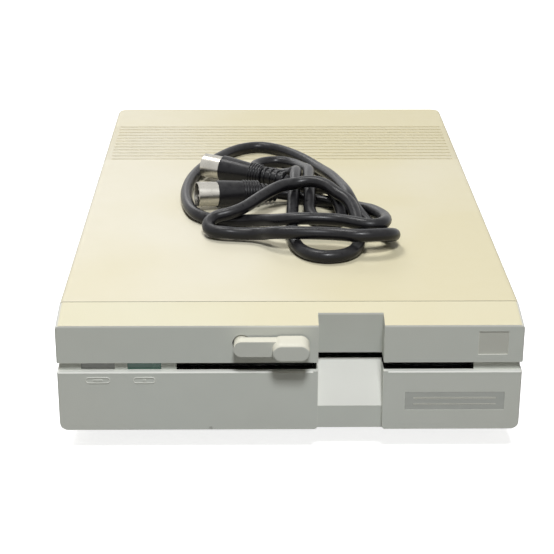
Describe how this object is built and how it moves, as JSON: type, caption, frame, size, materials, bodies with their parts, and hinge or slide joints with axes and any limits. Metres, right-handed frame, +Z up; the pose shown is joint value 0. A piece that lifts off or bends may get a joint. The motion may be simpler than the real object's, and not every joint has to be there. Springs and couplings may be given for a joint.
{
  "type": "external floppy disk drive",
  "caption": "Flat desktop floppy disk drive with a front slot, turning lever, finger recess, disk mechanism, rear sockets, and its serial cable lying on top.",
  "frame": {"origin": "under the middle of the drive, on the surface that its feet stand on", "axes": "+Z up, the front face with the slot looks along -Y, +X to the right of a person facing the front"},
  "size_m": [0.213, 0.3564, 0.0896],
  "materials": {
    "case_plastic": "fine moulded texture, cream",
    "bezel_plastic": "fine moulded texture, pale cream",
    "lever_plastic": "smooth, off-white",
    "window_dark": "smoked",
    "window_teal": "smoked green",
    "led_epoxy": "tinted epoxy",
    "badge": "plain",
    "name_plate": "grey, plain",
    "foot_rubber": "matt black",
    "zinc_steel": "zinc plated",
    "ground_steel": "ground",
    "cast_frame": "die cast",
    "black_plastic": "black",
    "grey_plastic": "grey",
    "white_plastic": "white",
    "circuit_board": "green solder mask",
    "copper_coil": "enamelled copper",
    "magnet": "ferrite",
    "brass_bush": "bearing bronze",
    "head_ceramic": "polished ceramic",
    "capacitor_sleeve": "shrink sleeve",
    "heat_sink": "black anodised",
    "nickel": "nickel plated",
    "cable_jacket": "charcoal, slightly glossy PVC"
  },
  "bodies": {
    "root": {"front_bezel": "bezel_plastic", "top_cover": "case_plastic", "bottom_case": "case_plastic", "power_window": "window_dark", "drive_window": "window_teal", "status_leds": "led_epoxy", "led_board": "circuit_board", "badge_plate": "badge", "name_plate": "name_plate", "rubber_feet": "foot_rubber", "case_screws": "zinc_steel", "drive_chassis": "cast_frame", "disk_guides": "black_plastic", "arm_pins": "ground_steel", "spindle_bearing": "brass_bush", "motor_board": "circuit_board", "stator_coils": "copper_coil", "guide_rods": "ground_steel", "stepper_motor": "zinc_steel", "sensors": "black_plastic", "main_board": "circuit_board", "board_chips": "black_plastic", "shield_plate": "zinc_steel", "power_board": "circuit_board", "power_transformer": "magnet", "power_capacitors": "capacitor_sleeve", "power_heat_sink": "heat_sink", "serial_socket_1": "black_plastic", "serial_socket_2": "black_plastic", "socket_inserts": "black_plastic", "mode_switch_body": "black_plastic", "mains_inlet": "black_plastic", "inlet_blades": "nickel", "power_switch_frame": "black_plastic", "rocker_pin": "ground_steel", "serial_cable": "cable_jacket", "plug_1_body": "cable_jacket", "plug_1_shell": "nickel", "plug_2_body": "cable_jacket", "plug_2_shell": "nickel", "plug_cores": "black_plastic"},
    "lever": {"front_lever": "lever_plastic", "lever_shaft": "ground_steel", "lever_cam": "grey_plastic"},
    "clamp_arm": {"clamp_arm": "zinc_steel", "clamp_spring": "ground_steel"},
    "clamp_hub": {"clamp_hub": "black_plastic"},
    "spindle": {"spindle_hub": "ground_steel", "spindle_rotor": "zinc_steel", "rotor_magnet": "magnet"},
    "carriage": {"head_carriage": "cast_frame", "positioner_band": "ground_steel", "lower_head": "head_ceramic", "upper_arm_pin": "ground_steel"},
    "upper_arm": {"upper_head_arm": "black_plastic", "upper_head": "head_ceramic"},
    "capstan": {"stepper_capstan": "ground_steel"},
    "power_rocker": {"power_rocker": "black_plastic"},
    "mode_slider_1": {"mode_slider_1": "white_plastic"},
    "mode_slider_2": {"mode_slider_2": "white_plastic"}
  },
  "joints": [
    {"name": "lever_turn", "type": "hinge", "parent": "root", "child": "lever", "pos_m": [-0.022, -0.16675, 0.0573], "axis": [0, 1, 0], "range_deg": [0, 90]},
    {"name": "clamp_arm_lift", "type": "hinge", "parent": "root", "child": "clamp_arm", "pos_m": [0.0162, -0.00075, 0.0497], "axis": [1, 0, 0], "range_deg": [0, 4.1]},
    {"name": "clamp_hub_spin", "type": "hinge", "parent": "clamp_arm", "child": "clamp_hub", "pos_m": [0.0162, -0.0888, 0.0522], "axis": [0, 0.0715, 0.9974], "continuous": true},
    {"name": "spindle_spin", "type": "hinge", "parent": "root", "child": "spindle", "pos_m": [0.0162, -0.08875, 0.04], "axis": [0, 0, 1], "continuous": true},
    {"name": "carriage_travel", "type": "slide", "parent": "root", "child": "carriage", "axis": [0, -1, 0], "range_m": [0, 0.0206]},
    {"name": "capstan_turn", "type": "hinge", "parent": "root", "child": "capstan", "pos_m": [0.062, 0.01525, 0.045], "axis": [0, 0, 1], "range_deg": [0, 150]},
    {"name": "upper_arm_lift", "type": "hinge", "parent": "carriage", "child": "upper_arm", "pos_m": [0.0162, 0.0064, 0.051], "axis": [1, 0, 0], "range_deg": [0, 6]},
    {"name": "power_rock", "type": "hinge", "parent": "root", "child": "power_rocker", "pos_m": [0.08, 0.16925, 0.028], "axis": [1, 0, 0], "range_deg": [0, 16]},
    {"name": "mode_slide_1", "type": "slide", "parent": "root", "child": "mode_slider_1", "axis": [1, 0, 0], "range_m": [0, 0.0015]},
    {"name": "mode_slide_2", "type": "slide", "parent": "root", "child": "mode_slider_2", "axis": [1, 0, 0], "range_m": [0, 0.0015]}
  ],
  "couplings": [
    {"joint": "clamp_arm_lift", "follows": "lever_turn", "ratio": 0.045556},
    {"joint": "upper_arm_lift", "follows": "lever_turn", "ratio": 0.066667},
    {"joint": "capstan_turn", "follows": "carriage_travel", "rad_per_m": 125}
  ]
}
